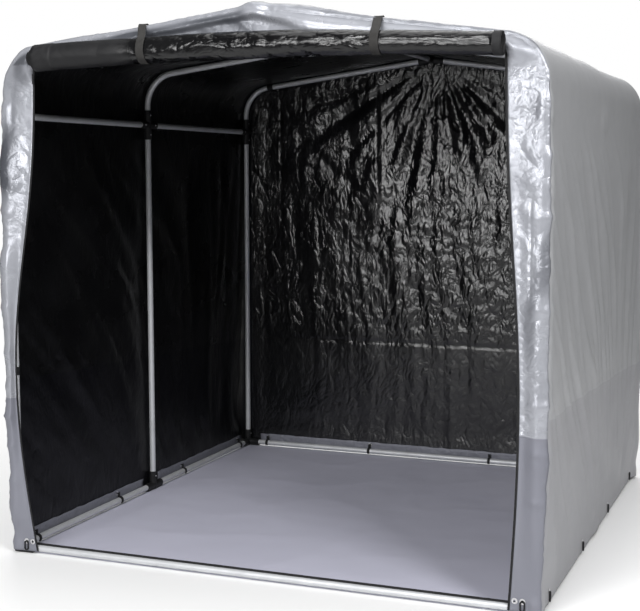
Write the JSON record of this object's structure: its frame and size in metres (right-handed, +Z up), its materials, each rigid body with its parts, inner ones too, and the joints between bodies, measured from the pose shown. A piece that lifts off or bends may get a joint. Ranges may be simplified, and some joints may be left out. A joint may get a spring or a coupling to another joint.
{
  "type": "bike shelter",
  "caption": "Walk-in bike shelter: a bent tube frame with socket joints under a silver sheet cover, ground sheet inside, front door rolled up and strapped under the gable.",
  "frame": {"origin": "on the ground, in the middle of the frame", "axes": "+X right and +Y to the rear as seen from the door, +Z up; the door faces -Y"},
  "size_m": [2.0184, 2.1341, 1.9781],
  "materials": {
    "steel_tube": "satin",
    "joint_plastic": "moulded",
    "cover_sheet": "silver coated outside, black inside",
    "ground_sheet": "woven, satin",
    "door_sheet": "black film, glossy",
    "webbing": "woven",
    "zip_tape": "woven",
    "eyelet_metal": "pressed",
    "elastic": "braided"
  },
  "bodies": {
    "root": {"front_left_post": "steel_tube", "front_right_post": "steel_tube", "middle_left_post": "steel_tube", "middle_right_post": "steel_tube", "rear_left_post": "steel_tube", "rear_right_post": "steel_tube", "front_left_rafter": "steel_tube", "front_right_rafter": "steel_tube", "middle_left_rafter": "steel_tube", "middle_right_rafter": "steel_tube", "rear_left_rafter": "steel_tube", "rear_right_rafter": "steel_tube", "left_eave_rails": "steel_tube", "right_eave_rails": "steel_tube", "ridge_rails": "steel_tube", "front_sill": "steel_tube", "back_base_rail": "steel_tube", "left_base_rails": "steel_tube", "right_base_rails": "steel_tube", "left_eave_joints": "joint_plastic", "right_eave_joints": "joint_plastic", "ridge_joints": "joint_plastic", "left_feet": "joint_plastic", "right_feet": "joint_plastic", "left_wall": "cover_sheet", "right_wall": "cover_sheet", "back_wall": "cover_sheet", "left_roof": "cover_sheet", "right_roof": "cover_sheet", "front_gable": "cover_sheet", "left_front_flap": "cover_sheet", "right_front_flap": "cover_sheet", "left_hem": "cover_sheet", "right_hem": "cover_sheet", "back_hem": "cover_sheet", "floor_sheet": "ground_sheet", "rolled_door": "door_sheet", "left_door_strap": "webbing", "right_door_strap": "webbing", "left_zip": "zip_tape", "right_zip": "zip_tape", "sill_zip": "zip_tape", "hem_eyelets": "eyelet_metal", "hem_ties": "elastic", "cover_bands": "zip_tape"}
  },
  "joints": []
}
